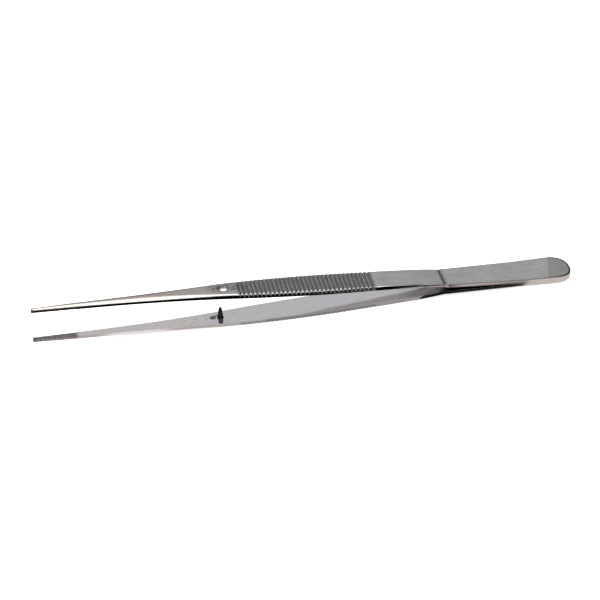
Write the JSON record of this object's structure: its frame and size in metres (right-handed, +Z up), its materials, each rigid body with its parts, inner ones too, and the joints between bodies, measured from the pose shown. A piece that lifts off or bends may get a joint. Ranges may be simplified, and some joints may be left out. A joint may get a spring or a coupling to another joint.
{
  "type": "tweezers",
  "caption": "Straight spring tweezers with ridged grip, serrated blunt tips, a guide pin on one arm and a matching hole in the other.",
  "frame": {"origin": "centre of the bounding box's base: half way along the tweezers, on their centre line, at the lowest point of the lower arm", "axes": "+X from the tips to the welded heel, +Y across the arms, +Z up, at right angles to the plane where the two arms meet"},
  "size_m": [0.156, 0.0114, 0.0114],
  "materials": {
    "arm_steel": "satin ground stainless steel, polished along the rounded edges",
    "weld_steel": "weld metal ground flush",
    "pin_steel": "dark turned steel, semi-gloss"
  },
  "bodies": {
    "heel": {"upper_heel_tab": "arm_steel", "lower_heel_tab": "arm_steel", "heel_weld": "weld_steel"},
    "upper_half": {"upper_jaw": "arm_steel", "upper_grip": "arm_steel", "upper_shank": "arm_steel"},
    "lower_half": {"lower_jaw": "arm_steel", "lower_grip": "arm_steel", "lower_shank": "arm_steel", "guide_pin": "pin_steel"}
  },
  "joints": [
    {"name": "upper_arm_flex", "type": "hinge", "parent": "heel", "child": "upper_half", "pos_m": [0.05, 0, 0.00651], "axis": [0, -1, 0], "range_deg": [0, 1.95], "stiffness_Nm_per_rad": 5},
    {"name": "lower_arm_flex", "type": "hinge", "parent": "heel", "child": "lower_half", "pos_m": [0.05, 0, 0.0049], "axis": [0, 1, 0], "range_deg": [0, 1.95], "stiffness_Nm_per_rad": 5}
  ]
}
